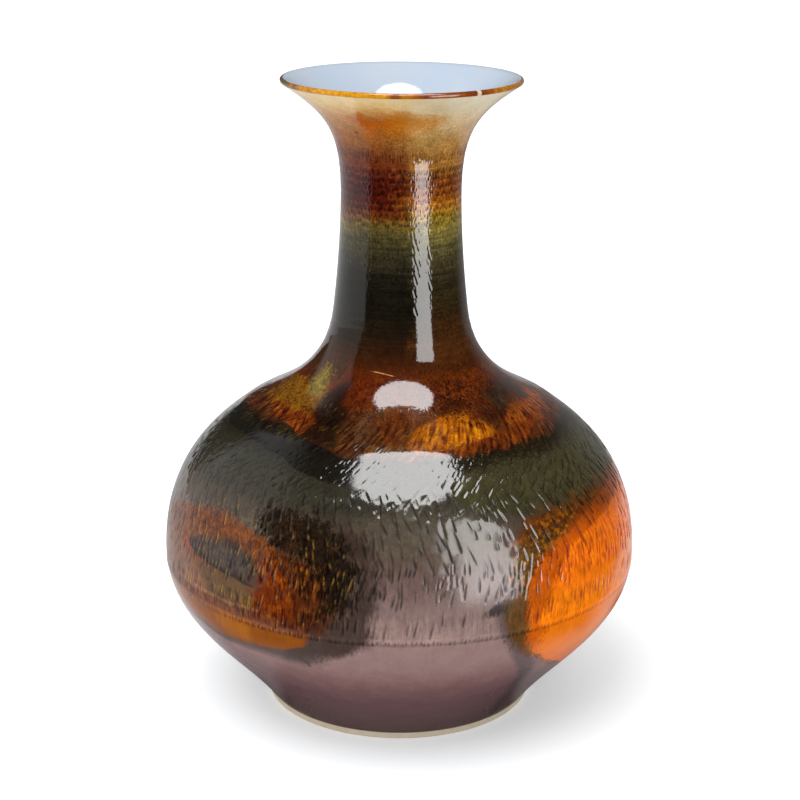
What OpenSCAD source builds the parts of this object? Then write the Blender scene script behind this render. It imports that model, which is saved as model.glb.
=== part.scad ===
// Bone china vase with a wide belly, a narrow neck and a trumpet mouth.
// The clay is thrown in sections that are luted together with slip, turned on a foot ring,
// and then coated with glaze outside, inside, on the lip and in the recess of the base.
// One outline drives everything. It is a chain of cubic curves through six stations, and
// each layer of clay or glaze is that outline moved inward along its own normals.

/* [Heights] */
// Height from the rest face to the top of the lip
height = 300; // [290:0.5:320]
// Height of the bare foot ring, where the outer glaze begins
foot_h = 3.4; // [2.5:0.1:5]
// Height of the belly at its widest
belly_z = 76; // [69:0.1:84]
// Height where the shoulder turns from swelling out to drawing in
shoulder_z = 143.9; // [137:0.1:150]
// Height of the root of the neck
root_z = 191.4; // [183:0.1:200]
// Height of the narrowest part of the neck
waist_z = 247.5; // [238:0.1:252]

/* [Radii] */
// Radius of the foot at the edge of the glaze
foot_r = 64.5; // [59:0.1:70]
// Radius of the belly at its widest
belly_r = 113; // [104:0.1:121]
// Radius at the turn of the shoulder
shoulder_r = 76.2; // [70:0.1:82]
// Radius at the root of the neck
root_r = 31.8; // [30:0.1:38]
// Radius of the neck at its narrowest
waist_r = 28; // [25:0.1:31]
// Radius of the mouth, to the outer edge of the lip
mouth_r = 55.5; // [48:0.1:62]

/* [Slopes] */
// Angle above level at which the wall leaves the foot
foot_flare = 54; // [48:0.5:60]
// Angle above level of the wall at the turn of the shoulder
shoulder_slope = 37.5; // [32:0.5:43]
// Lean of the neck towards the axis at its root
root_lean = 7; // [3:0.5:12]
// Angle above level at which the wall meets the lip
lip_flare = 34.5; // [25:0.5:45]

/* [Walls] */
// Wall thickness just above the foot, glazes included
foot_wall = 5; // [4:0.1:6.5]
// Wall thickness at the belly, glazes included
belly_wall = 4.2; // [3.5:0.1:5.5]
// Wall thickness at the root of the neck, glazes included
neck_wall = 3.6; // [3:0.1:4.5]
// Thickness of the lip, which is fully rounded
lip_t = 2.5; // [2:0.1:3.2]
// Thickness of the clay floor at the axis
floor_t = 5; // [4:0.1:7]
// Thickness of every coat of glaze
glaze_t = 0.5; // [0.3:0.05:0.7]

/* [Foot ring] */
// Width of the foot ring where it is luted to the body
foot_w = 9; // [7:0.1:12]
// Rounding of the foot ring's two lower edges
foot_round = 0.9; // [0.5:0.1:1.2]
// Height of the recess inside the foot ring
recess_h = 6; // [5.4:0.1:8]
// Width of the curved side of the recess
cove_w = 5; // [3:0.1:8]
// Clay left bare between the base glaze and the side of the recess
bare_w = 1.5; // [0.5:0.1:4]

/* [Luted seams] */
// Height of the seam between the lower body and the upper body
belly_seam_z = 71.2; // [65:0.1:73]
// Height of the belly seam's slip band
belly_seam_h = 3; // [2:0.1:4]
// How far the belly seam's bead stands proud
belly_bead = 0.6; // [0.2:0.05:1]
// Height of the seam between the upper body and the neck
neck_seam_z = 168.5; // [160:0.1:176]
// Height of the neck seam's slip band
neck_seam_h = 2; // [1.5:0.1:3]
// How far the neck seam's bead stands proud
neck_bead = 0.25; // [0.1:0.05:0.6]

/* [Chatter marks] */
// Number of marks in the row above the belly seam
mark_count = 96; // [48:1:110]
// Height of the middle of the row
mark_z = 80.5; // [80:0.1:84]
// Width of one mark
mark_w = 4.6; // [3:0.1:5]
// Height of one mark
mark_h = 10; // [6:0.5:10]
// Depth of the glaze taken out at the middle of a mark
mark_depth = 0.25; // [0.1:0.05:0.25]
// Lean of the marks, to the right at the top
mark_lean = 18; // [0:1:25]

/* [Lip] */
// Angle round the lip, from level and outward, at which the lip's line of colour ends
band_end = 96; // [70:1:110]

/* [Hidden] */
$fn = 120;

// Reach of the curve beyond each station and before the next one, as shares of the
// straight distance between the two
leave_shares = [0.41, 0.56, 0.20, 0.42, 0.52];
arrive_shares = [0.34, 0.17, 0.52, 0.22, 0.41];
// The inside leaves the outline for the floor at this share of the belly's height
floor_turn_share = 0.34;
// Reach of the floor's curve at the wall and at the axis, as shares of its radius
floor_reach_shares = [0.2, 0.45];
// Straight pieces of the outline in each section from foot to lip
section_steps = [16, 6, 28, 4, 40];
floor_steps = 14;
lip_steps = 10;
corner_steps = 4;

lip_round = lip_t / 2;
lip_centre = [mouth_r - lip_round, height - lip_round];
foot_out_r = foot_r - glaze_t;
foot_in_r = foot_out_r - foot_w;
recess_r = foot_in_r - cove_w;
floor_z = recess_h + floor_t;

function toward(angle) = [cos(angle), sin(angle)];
lip_start = lip_centre + lip_round * toward(lip_flare - 90);

// Each station has its point and the direction in which the outline passes through it
stations = [
    [[foot_r, foot_h], foot_flare],
    [[belly_r, belly_z], 90],
    [[shoulder_r, shoulder_z], 180 - shoulder_slope],
    [[root_r, root_z], 90 + root_lean],
    [[waist_r, waist_z], 90],
    [lip_start, lip_flare]
];
last_span = len(stations) - 2;
lip_s = len(stations) - 1;

// A place on the outline is a number s: its whole part picks the span, and its
// fraction runs from 0 to 1 between the span's two stations
function span_of(s) = min(floor(s), last_span);
function poles(k) =
    let (
        a = stations[k][0],
        d = stations[k + 1][0],
        reach = norm(d - a)
    )
    [
        a,
        a + reach * leave_shares[k] * toward(stations[k][1]),
        d - reach * arrive_shares[k] * toward(stations[k + 1][1]),
        d
    ];
function bezier(p, t) =
    pow(1 - t, 3) * p[0] + 3 * t * pow(1 - t, 2) * p[1]
    + 3 * t * t * (1 - t) * p[2] + pow(t, 3) * p[3];
function bezier_slope(p, t) =
    pow(1 - t, 2) * (p[1] - p[0]) + 2 * t * (1 - t) * (p[2] - p[1])
    + t * t * (p[3] - p[2]);
function unit(v) = v / norm(v);
function heading(s) = unit(bezier_slope(poles(span_of(s)), s - span_of(s)));
function outward(s) = let (h = heading(s)) [h[1], -h[0]];
function outline(s) = bezier(poles(span_of(s)), s - span_of(s));

// The place where the outline reaches a height, found by halving
function place_at(z, low = 0, high = lip_s, rounds = 30) =
    let (middle = (low + high) / 2)
    rounds == 0 ? middle
    : outline(middle)[1] < z ? place_at(z, middle, high, rounds - 1)
    : place_at(z, low, middle, rounds - 1);

cuts = [
    0,
    place_at(belly_seam_z - belly_seam_h / 2),
    place_at(belly_seam_z + belly_seam_h / 2),
    place_at(neck_seam_z - neck_seam_h / 2),
    place_at(neck_seam_z + neck_seam_h / 2),
    lip_s
];
beads = [0, belly_bead, 0, neck_bead, 0];
last_section = len(beads) - 1;

// A bead swells smoothly from one edge of its slip band to the other
function bead(s) =
    let (k = [for (i = [0:last_section]) if (s >= cuts[i] && s <= cuts[i + 1]) i][0])
    beads[k] * pow(sin(180 * (s - cuts[k]) / (cuts[k + 1] - cuts[k])), 2);

walls = [[0, foot_wall], [1, belly_wall], [3, neck_wall], [lip_s, lip_t]];
function wall(s) = lookup(s, walls);

// Layers, from outside to inside: the glaze's face, the clay under it, the clay's inner
// face, and the face of the inner glaze
GLAZE_OUT = 0;
CLAY_OUT = 1;
CLAY_IN = 2;
GLAZE_IN = 3;
function depth(layer, s) =
    layer == GLAZE_OUT ? -bead(s)
    : layer == CLAY_OUT ? glaze_t - bead(s)
    : layer == CLAY_IN ? wall(s) - glaze_t
    : wall(s);
function skin(layer, s) = outline(s) - depth(layer, s) * outward(s);

function section(k) =
    [for (i = [0:section_steps[k]]) cuts[k] + (cuts[k + 1] - cuts[k]) * i / section_steps[k]];
function sections(first, last) =
    [for (k = [first:last]) for (s = section(k)) if (k == first || s > cuts[k]) s];
function layer_points(layer, places) = [for (s = places) skin(layer, s)];
function backward(list) = [for (i = [len(list) - 1:-1:0]) list[i]];

// The inside turns away from the outline near the foot and runs in to the axis
floor_s = place_at(belly_z * floor_turn_share);
floor_places = [for (s = section(0)) if (s > floor_s) s];
function floor_poles(layer) =
    let (
        a = skin(layer, floor_s),
        rise = layer == GLAZE_IN ? glaze_t : 0,
        d = [0, floor_z + rise]
    )
    [
        a,
        a - a[0] * floor_reach_shares[0] * heading(floor_s),
        d + [a[0] * floor_reach_shares[1], 0],
        d
    ];
function floor_points(layer) =
    [for (i = [floor_steps:-1:0]) bezier(floor_poles(layer), i / floor_steps)];

function arc(centre, radius, from, to, steps) =
    [for (i = [0:steps]) centre + radius * toward(from + (to - from) * i / steps)];
function band_arc(radius) = arc(lip_centre, radius, lip_flare - 90, band_end, lip_steps);
function inner_lip_arc(radius) =
    arc(lip_centre, radius, band_end, lip_flare + 90, corner_steps);
function skip_first(list) = [for (i = [1:1:len(list) - 1]) list[i]];

module turned(points) {
    rotate_extrude() polygon(points);
}

// A luted section of clay between two cuts, with the bevelled faces that the slip joins
module clay_section(k) {
    turned(concat(
        layer_points(CLAY_OUT, section(k)),
        backward(layer_points(CLAY_IN, section(k)))
    ));
}

module foot_ring() {
    low_in = [foot_in_r + foot_round, foot_round];
    low_out = [foot_out_r - foot_round, foot_round];
    color("#d9c9b3")
    turned(concat(
        [[foot_in_r, foot_h]],
        arc(low_in, foot_round, 180, 270, corner_steps),
        arc(low_out, foot_round, 270, 360, corner_steps),
        [[foot_out_r, foot_h]]
    ));
}

module lower_body() {
    recess_side = [
        for (i = [0:corner_steps])
            let (a = 90 * i / corner_steps)
            [recess_r + cove_w * sin(a), foot_h + (recess_h - foot_h) * cos(a)]
    ];
    color("#eee7da")
    turned(concat(
        [[0, recess_h]],
        recess_side,
        [[foot_out_r, foot_h]],
        layer_points(CLAY_OUT, section(0)),
        backward(layer_points(CLAY_IN, floor_places)),
        backward(floor_points(CLAY_IN))
    ));
}

module belly_seam() {
    color("#cfc3b4")
    clay_section(1);
}

module upper_body() {
    color("#e9e1d3")
    clay_section(2);
}

module neck_seam() {
    color("#cfc3b4")
    clay_section(3);
}

module neck() {
    clay_round = lip_round - glaze_t;
    color("#eee7da")
    turned(concat(
        layer_points(CLAY_OUT, section(4)),
        skip_first(band_arc(clay_round)),
        skip_first(inner_lip_arc(clay_round)),
        skip_first(backward(layer_points(CLAY_IN, section(4))))
    ));
}

// A turning tool that chatters against the turning pot takes out one shallow scoop after
// another, so each mark is a round gouge laid along the wall and sunk a little into it
module gouge(place) {
    gouge_r = mark_w * mark_w / mark_depth / 8 + mark_depth / 2;
    point = skin(GLAZE_OUT, place);
    side = heading(place);
    translate([point[0], 0, point[1]])
        rotate([0, 90 - atan2(side[1], side[0]), 0])
            rotate([-mark_lean, 0, 0])
                translate([gouge_r - mark_depth, 0, 0])
                    cylinder(r = gouge_r, h = mark_h, center = true);
}

module outer_glaze() {
    color("#3d392d")
    difference() {
        turned(concat(
            layer_points(GLAZE_OUT, sections(0, last_section)),
            backward(layer_points(CLAY_OUT, sections(0, last_section)))
        ));
        for (i = [0:mark_count - 1])
            rotate([0, 0, 360 * i / mark_count])
                gouge(place_at(mark_z));
    }
}

module lip_band() {
    color("#a8672c")
    turned(concat(band_arc(lip_round), backward(band_arc(lip_round - glaze_t))));
}

module inner_glaze() {
    inside = concat(floor_places, skip_first(sections(1, last_section)));
    color("#e2e5ee")
    turned(concat(
        floor_points(CLAY_IN),
        layer_points(CLAY_IN, inside),
        skip_first(backward(inner_lip_arc(lip_round - glaze_t))),
        inner_lip_arc(lip_round),
        skip_first(backward(layer_points(GLAZE_IN, inside))),
        backward(floor_points(GLAZE_IN))
    ));
}

module base_glaze() {
    color("#6f5854")
    translate([0, 0, recess_h - glaze_t])
        cylinder(r = recess_r - bare_w, h = glaze_t);
}

foot_ring();
lower_body();
belly_seam();
upper_body();
neck_seam();
neck();
outer_glaze();
lip_band();
inner_glaze();
base_glaze();
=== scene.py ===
# Looks of the bone china vase: chattered, many-coloured glaze over the fixed CAD frame
import math

import bpy
import numpy as np
from mathutils import Matrix, Vector


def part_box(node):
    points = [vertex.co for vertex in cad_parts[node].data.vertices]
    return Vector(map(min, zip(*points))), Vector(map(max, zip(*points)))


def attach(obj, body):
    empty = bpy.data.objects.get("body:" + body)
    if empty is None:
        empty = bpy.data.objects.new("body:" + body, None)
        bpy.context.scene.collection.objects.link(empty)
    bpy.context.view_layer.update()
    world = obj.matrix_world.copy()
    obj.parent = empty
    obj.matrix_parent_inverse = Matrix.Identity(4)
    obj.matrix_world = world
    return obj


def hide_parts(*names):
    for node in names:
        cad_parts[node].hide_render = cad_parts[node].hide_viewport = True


MM = 0.001

# Camera, fitted to the photograph's outline, in metres, millimetres of lens and degrees
CAMERA_BACK = 0.8765
CAMERA_HEIGHT = 0.4177
CAMERA_LENS = 86.46
CAMERA_SENSOR = 36
CAMERA_DOWN = 17.205
CAMERA_ROLL = 0.32

# Bands of the outer glaze: their heights and ring spacing in millimetres, the columns round
# them, and the names of the pieces that each band is split into
BANDS = {
    "foot": {"low": 0.0, "high": 66.0, "columns": 480, "step": 1.4, "pieces": ["foot"]},
    "belly": {"low": 66.0, "high": 168.0, "columns": 1800, "step": 0.85,
              "pieces": ["seam", "belly", "high_belly", "shoulder"]},
    "neck": {"low": 168.0, "high": 400.0, "columns": 640, "step": 0.58,
             "pieces": ["neck", "mouth"]},
}
# CAD points closer than this many metres are one point
TOUCH = 2e-6
# The glaze's hidden back keeps one ring in this many, and marks fade out near a band's ends
HIDDEN_SHARE = 6
FADE = 1.2
# Height and half width of the soft ridge over the belly's joint
SEAM_RISE = 0.24
SEAM_SPREAD = 2.0
# Spacing of the splines that are laid through CAD points, and of the inner glaze's rings
CURVE_STEP = 0.2
INNER_STEP = 3.0
INNER_COLUMNS = 360
LIP_RINGS = 24

# A scoop's steep side, and the pale burr beyond it, in millimetres right of its deepest line
STEEP_WIDTH = 0.55
BURR_PLACE = 0.8
BURR_WIDTH = 0.3

# Stray nicks on the neck, as (angle, height)
STRAY = [(12.5, 230), (14.5, 227), (12, 221), (14.2, 218), (15.4, 215), (13, 212), (12, 206),
         (16.4, 220), (26.5, 209), (27, 223), (12.6, 198)]

# Light on matt surfaces, then the studio's parts in reflections: the left wall, the dark rest
# and the low wall behind at the right
MATT_WORLD = 0.85
ROOM_SIDES = 0.52
ROOM_DARK = 0.03
ROOM_BEHIND = 0.2

# The floor's size and the glow that keeps it white to the camera, and the key lamp
FLOOR_SIZE = 14
FLOOR_GLOW = 0.28
SUN_POWER = 1.5
SUN_SPREAD = 45
SUN_AIM = (0.55, 0.75, -1.5)

# Lamps that only reflections show: place, target, width, height and power
STRIP = (0.247, -0.314, 0.236), (0, 0, 0.236), 0.183, 0.388, 1.8
OVERHEAD = (0.045, -0.255, 1.15), (0.02, -0.06, 0.15), 0.76, 0.70, 16.0

# Heights of the line over the belly's joint and the one under it, and the angle of a chip
JOINT_OVER = 71.6
JOINT_UNDER = 69.5
CHIP_ANGLE = 37.5


def smooth(low, high, value):
    """0 below low, 1 above high, and an even S between them."""
    t = np.clip((value - low) / (high - low), 0, 1)
    return t * t * (3 - 2 * t)


def half_plane(node):
    """The points (r, z) of a turned CAD node's outline, in millimetres: its vertices beside +X."""
    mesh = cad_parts[node].data
    co = np.zeros(len(mesh.vertices) * 3)
    mesh.vertices.foreach_get("co", co)
    co = co.reshape(-1, 3)
    flat = co[(np.abs(co[:, 1]) < TOUCH) & (co[:, 0] > -TOUCH)][:, [0, 2]]
    return np.unique(np.round(flat / MM, 3), axis=0)


def shared(points, others):
    """Which points lie on one of the others."""
    gaps = np.linalg.norm(points[:, None, :] - others[None, :, :], axis=2)
    return gaps.min(axis=1) < 2 * TOUCH / MM


def by_height(points):
    """The points (r, z) from the lowest to the highest."""
    return points[np.argsort(points[:, 1], kind="stable")]


def curve_through(points, step):
    """A natural cubic spline through the points, and its unit slopes, about every step."""
    gaps = np.linalg.norm(np.diff(points, axis=0), axis=1)
    s = np.concatenate([[0], np.cumsum(gaps)])
    n = len(s)
    h = np.diff(s)
    rows = np.zeros((n, n))
    right = np.zeros((n, 2))
    rows[0, 0] = rows[-1, -1] = 1
    for i in range(1, n - 1):
        rows[i, i - 1:i + 2] = h[i - 1], 2 * (h[i - 1] + h[i]), h[i]
        right[i] = 6 * ((points[i + 1] - points[i]) / h[i] - (points[i] - points[i - 1]) / h[i - 1])
    bend = np.linalg.solve(rows, right)
    places = np.linspace(0, s[-1], max(2, int(round(s[-1] / step)) + 1))
    k = np.clip(np.searchsorted(s, places, side="right") - 1, 0, n - 2)
    a, b, g = (s[k + 1] - places)[:, None], (places - s[k])[:, None], h[k][:, None]
    line = (a * points[k] + b * points[k + 1]) / g
    sag = ((a ** 3 / g - a * g) * bend[k] + (b ** 3 / g - b * g) * bend[k + 1]) / 6
    slope = (points[k + 1] - points[k]) / g + (
        (g / 6 - a * a / g / 2) * bend[k] + (b * b / g / 2 - g / 6) * bend[k + 1])
    slope /= np.linalg.norm(slope, axis=1)[:, None]
    return line + sag, slope


class Marks:
    """Depth, dark line and light crest of the marks over one band's rings and columns."""

    def __init__(self, rings, along, columns):
        self.rings = rings
        self.along = along
        self.columns = columns
        self.depth = np.zeros((len(rings), columns))
        self.line = np.zeros((len(rings), columns))
        self.crest = np.zeros((len(rings), columns))
        self.ridge = np.zeros(len(rings))

    def place(self, z):
        """How far along the outline a height is."""
        return np.interp(z, self.rings[:, 1], self.along)

    def cut(self, angle, s, length, width, lean, depth, line, line_width):
        """One scoop: it deepens from its left edge to a steep step at its right, and leans to
        the right at its top by lean degrees."""
        reach = length / 2 + width + 1
        first, last = np.searchsorted(self.along, [s - reach, s + reach])
        if last <= first:
            return
        r = max(np.interp(s, self.along, self.rings[:, 0]), 1)
        half = math.degrees(reach / r)
        count = int(half / 360 * self.columns) + 1
        centre = int(round((angle + 180) / 360 * self.columns))
        columns = np.arange(centre - count, centre + count + 1)
        across = np.radians(columns * 360 / self.columns - 180 - angle)[None, :] * \
            self.rings[first:last, 0][:, None]
        up = (self.along[first:last] - s)[:, None]
        c, d = math.cos(math.radians(lean)), math.sin(math.radians(lean))
        u = across * c - up * d
        t = np.clip((across * d + up * c) / length + 0.5, 0, 1)
        swell = np.sin(np.pi * t ** 0.55)
        wide = width * np.sqrt(np.clip(swell, 0.02, 1))
        ramp = np.clip((u + wide) / wide, 0, 1) ** 1.15
        step = 1 - smooth(0.0, STEEP_WIDTH, u)
        cut = depth * swell * np.where(u < 0, ramp, step)
        pool = line * np.sqrt(np.clip(swell, 0, 1)) * np.exp(
            -((u + 0.05) / (line_width * (0.6 + 0.5 * swell))) ** 2)
        pool = np.maximum(pool, np.where(u < 0, 0.45 * line * swell * ramp ** 2, 0))
        burr = line * np.sqrt(np.clip(swell, 0, 1)) * np.exp(
            -((u - BURR_PLACE) / BURR_WIDTH) ** 2)
        window = np.ix_(range(first, last), columns % self.columns)
        self.depth[window] = np.maximum(self.depth[window], cut)
        self.line[window] = np.maximum(self.line[window], pool)
        self.crest[window] = np.maximum(self.crest[window], burr)

    def rows(self, rng, low, high, pitch, row_pitch, length, width, lean, depth, line, keep,
             jitter, line_width):
        """Rows of scoops between two heights. Each size is a (smallest, largest) pair, pitch
        is in degrees, and keep is the share of the scoops that are cut."""
        start, end = self.place(low), self.place(high)
        rows = max(1, int(round((end - start) / row_pitch)))
        for k in range(rows):
            s = start + (k + 0.5) * (end - start) / rows
            count = int(360 / pitch)
            for i in range(count):
                if rng.random() > keep:
                    continue
                angle = -180 + 360 * (i + 0.5 * (k % 2) + rng.uniform(-jitter, jitter)) / count
                self.cut(angle, s + row_pitch * rng.uniform(-jitter, jitter),
                         rng.uniform(*length), rng.uniform(*width), rng.uniform(*lean),
                         rng.uniform(*depth), line * rng.uniform(0.6, 1), line_width)


# Bands of scoops on the belly and the shoulder, going up: low and high, pitch in degrees, pitch
# of the rows, then smallest and largest length, width, lean and depth, darkness, share kept,
# jitter, and width of the dark line
BELLY_ROWS = [
    # Close nicks along the joint's lower edge
    (69.4, 71.4, 0.95, 2.0, (1.8, 2.8), (0.6, 1.1), (-4, 8), (0.08, 0.2), 0.9, 0.9, 0.28, 0.44),
    # Slanted strokes above the joint, in loose groups
    (74.5, 83, 1.8, 8.5, (6, 9.5), (1.3, 2.8), (3, 14), (0.16, 0.4), 1.0, 0.72, 0.45, 0.44),
    # Upright nicks round the middle of the belly
    (88, 104, 1.3, 5.0, (4, 9), (0.9, 1.9), (-6, 18), (0.1, 0.3), 1.0, 0.72, 0.48, 0.5),
    # Large scales under the shoulder
    (103, 127, 3.2, 5.2, (5, 11), (2.4, 5.0), (-28, -6), (0.16, 0.36), 1.0, 0.8, 0.48, 0.55),
    # Crossing strokes at the shoulder's turn, then finer ones above them
    (124, 136, 2.3, 4.0, (4, 7.5), (1.4, 2.8), (36, 56), (0.08, 0.26), 0.8, 0.62, 0.48, 0.44),
    (123, 132, 3.2, 4.5, (3.5, 6.5), (1.8, 3.4), (-32, -8), (0.1, 0.26), 0.8, 0.5, 0.48, 0.44),
    (135, 142.5, 1.7, 3.4, (2.4, 4.4), (0.6, 1.2), (28, 52), (0.04, 0.13), 0.5, 0.7, 0.45, 0.44),
    # Leaning strokes and short teeth on the shoulder
    (145, 152, 1.6, 6.0, (3.5, 6.5), (0.7, 1.4), (32, 50), (0.04, 0.13), 0.8, 0.85, 0.4, 0.44),
    (154.2, 157.6, 1.9, 3.0, (2.2, 4.0), (0.6, 1.0), (-12, 14), (0.02, 0.05), 0.5, 0.7, 0.45,
     0.44),
]


def belly_marks(marks):
    """The marks of the table above."""
    rng = np.random.default_rng(7)
    for row in BELLY_ROWS:
        marks.rows(rng, *row)


def neck_marks(marks):
    """The neck's rows of ticks, from below the flare downwards."""
    rng = np.random.default_rng(11)
    # A first row of long nicks below the flare, then short ones in even rows between ridges
    marks.rows(rng, 265.5, 271.5, 2.15, 6.0, (4.5, 6), (0.5, 0.7), (-3, 3), (0.06, 0.14), 0.8,
               1.0, 0.25, 0.4)
    for k in range(8):
        z = 261.0 - 3.33 * k
        marks.rows(rng, z - 1.6, z + 1.6, 2.1, 3.2, (2.0, 3.0), (0.4, 0.65), (-4, 4),
                   (0.05, 0.12), 1.0, 0.93, 0.3, 0.7)
        if k < 7:
            marks.ridge += np.exp(-((marks.rings[:, 1] - z - 1.67) / 0.5) ** 2)
    # Fainter rows that die out down the neck
    for k in range(12):
        z = 234.0 - 3.6 * k
        fading = 1 - k / 14
        marks.rows(rng, z - 1.6, z + 1.6, 2.4, 3.2, (2.2, 3.6), (0.4, 0.8), (-16, 4),
                   (0.03 * fading, 0.11 * fading), 0.7 * fading, 0.75, 0.45, 0.3)
        marks.ridge -= 0.5 * fading * np.exp(-((marks.rings[:, 1] - z - 1.8) / 0.4) ** 2)
    # Stray nicks to the right of the front
    for angle, z in STRAY:
        marks.cut(angle, marks.place(z), 4.5, 0.8, -18, 0.16, 0.9, 0.5)


def add_mesh(name, co, faces, values, normals):
    """A mesh object from arrays: points in millimetres, lists of faces, point values, normals."""
    mesh = bpy.data.meshes.new(name)
    mesh.vertices.add(len(co))
    mesh.vertices.foreach_set("co", (co * MM).astype(np.float32).ravel())
    corners = np.concatenate([f.ravel() for f in faces])
    sizes = np.concatenate([np.full(len(f), f.shape[1]) for f in faces])
    mesh.loops.add(len(corners))
    mesh.loops.foreach_set("vertex_index", corners.astype(np.int32))
    mesh.polygons.add(len(sizes))
    starts = np.concatenate([[0], np.cumsum(sizes)[:-1]])
    mesh.polygons.foreach_set("loop_start", starts.astype(np.int32))
    mesh.update(calc_edges=True)
    for key, value in values.items():
        layer = mesh.attributes.new(key, "FLOAT", "POINT")
        layer.data.foreach_set("value", value.astype(np.float32).ravel())
    mesh.shade_smooth()
    mesh.normals_split_custom_set_from_vertices(normals.reshape(-1, 3).tolist())
    obj = bpy.data.objects.new(name, mesh)
    bpy.context.scene.collection.objects.link(obj)
    return obj


def turned(rings, columns):
    """Points of rings (r, z) turned about the axis, as an array of rings by columns."""
    angle = 2 * np.pi * np.arange(columns) / columns - np.pi
    r, z = rings[:, 0, None], rings[:, 1, None]
    return np.stack([r * np.sin(angle), -r * np.cos(angle), z + 0 * angle], axis=2)


def quads(first_row, next_row):
    """Faces between two rows of point numbers that each close on themselves."""
    a, b = first_row, next_row
    return np.stack([a, np.roll(a, -1), np.roll(b, -1), b], axis=1)


def shell(name, outside, inside, values, normals):
    """A closed turned skin: outside rings going up, then inside rings coming down."""
    rows = np.concatenate([outside, inside[::-1]])
    count, columns = rows.shape[:2]
    numbers = np.arange(count * columns).reshape(count, columns)
    faces = [quads(numbers[i], numbers[(i + 1) % count]) for i in range(count)]
    hidden = np.zeros((len(inside), columns))
    values = {k: np.concatenate([v, hidden]) for k, v in values.items()}
    normals = np.concatenate([normals, -normals[:1].repeat(len(inside), axis=0)])
    return add_mesh(name, rows.reshape(-1, 3), faces, values, normals)


def grid_normals(points):
    """Unit normals, outward, of a grid of rings by columns that closes across its columns."""
    across = np.roll(points, -1, axis=1) - np.roll(points, 1, axis=1)
    up = np.gradient(points, axis=0)
    n = np.cross(across, up)
    return n / np.linalg.norm(n, axis=2)[:, :, None]


def outer_glaze(clay):
    """The outer glaze in bands, each split into closed pieces, with its marks cut in."""
    coat = np.linalg.norm(np.diff(by_height(half_plane("outer_glaze"))[:2], axis=0))
    inner, slope = curve_through(clay, CURVE_STEP)
    outward = np.stack([slope[:, 1], -slope[:, 0]], axis=1)
    outer = inner + coat * outward
    along = np.concatenate([[0], np.cumsum(np.linalg.norm(np.diff(outer, axis=0), axis=1))])
    made = []
    for band, plan in BANDS.items():
        low, high = np.interp([plan["low"], plan["high"]], outer[:, 1], along)
        places = np.linspace(low, high, int(round((high - low) / plan["step"])) + 1)
        rings, back, out = [
            np.stack([np.interp(places, along, a[:, k]) for k in (0, 1)], axis=1)
            for a in (outer, inner, outward)]
        marks = Marks(rings, places, plan["columns"])
        if band == "belly":
            belly_marks(marks)
        if band == "neck":
            neck_marks(marks)
        fade = smooth(0, FADE, places - low) * smooth(0, FADE, high - places)
        depth = marks.depth * fade[:, None]
        if band == "belly":
            rise = np.exp(-((rings[:, 1] - seam_height) / SEAM_SPREAD) ** 2)
            depth = np.maximum(depth * (1 - rise)[:, None], 0) - SEAM_RISE * rise[:, None]
        line, crest = marks.line * fade[:, None], marks.crest * fade[:, None]
        ridge = (marks.ridge * fade)[:, None].repeat(plan["columns"], axis=1)
        out = turned(out, plan["columns"])
        points = turned(rings, plan["columns"]) - depth[:, :, None] * out
        normals = grid_normals(points)
        normals[[0, -1]] = out[[0, -1]]
        behind = turned(back, plan["columns"])
        edges = np.linspace(0, len(places) - 1, len(plan["pieces"]) + 1).round().astype(int)
        for name, a, b in zip(plan["pieces"], edges[:-1], edges[1:]):
            rows = slice(a, b + 1)
            few = np.append(np.arange(a, b - HIDDEN_SHARE // 2, HIDDEN_SHARE), b)
            made.append(shell("outer_glaze_" + name, points[rows], behind[few],
                              {"line": line[rows], "crest": crest[rows], "ridge": ridge[rows]},
                              normals[rows]))
    return made


def inner_glaze(clay):
    """The white glaze inside: its face is smoothed, and its back keeps the CAD points."""
    ring = half_plane("inner_glaze")
    touching = shared(ring, clay)
    face, slope = curve_through(by_height(ring[~touching]), INNER_STEP)
    back = by_height(ring[touching])
    columns = INNER_COLUMNS
    out = turned(np.stack([-slope[:, 1], slope[:, 0]], axis=1), columns)
    rows = np.concatenate([turned(face[1:], columns), turned(back[1:], columns)[::-1]])
    count = len(rows)
    numbers = np.arange(count * columns).reshape(count, columns)
    ends = count * columns, count * columns + 1
    # The rings run up the face and down the back, so their faces point to the axis and away
    faces = [quads(numbers[i], numbers[i + 1])[:, ::-1] for i in range(count - 1)]
    for end, row, turn in ((ends[0], numbers[0], 1), (ends[1], numbers[-1], -1)):
        fan = np.stack([np.full(columns, end), row, np.roll(row, -1)], axis=1)
        faces.append(fan[:, ::turn])
    points = np.concatenate([rows.reshape(-1, 3), [[0, 0, face[0, 1]], [0, 0, back[0, 1]]]])
    hidden = -out[:1].repeat(len(back) - 1, axis=0)
    normals = np.concatenate([out[1:], hidden]).reshape(-1, 3)
    normals = np.concatenate([normals, [[0, 0, 1], [0, 0, -1]]])
    return add_mesh("inner_glaze_face", points, faces, {}, normals)


def circle_through(a, b, c):
    """Centre and radius of the circle through three points."""
    rows = 2 * np.array([b - a, c - a])
    centre = np.linalg.solve(rows, [b @ b - a @ a, c @ c - a @ a])
    return centre, np.linalg.norm(a - centre)


def lip(clay):
    """The coloured line round the lip, as one smooth turned band."""
    ring = half_plane("lip_band")
    touching = shared(ring, clay)
    face, back = ring[~touching], ring[touching]
    centre, radius = circle_through(face[0], face[len(face) // 2], face[-1])
    turns = [np.arctan2(p[:, 1] - centre[1], p[:, 0] - centre[0]) for p in (face, back)]
    angles = np.linspace(turns[0].min(), turns[0].max(), LIP_RINGS)
    out = np.stack([np.cos(angles), np.sin(angles)], axis=1)
    back = back[np.argsort(turns[1])]
    return shell("lip_band_face", turned(centre + radius * out, INNER_COLUMNS),
                 turned(back, INNER_COLUMNS), {}, turned(out, INNER_COLUMNS))


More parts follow.
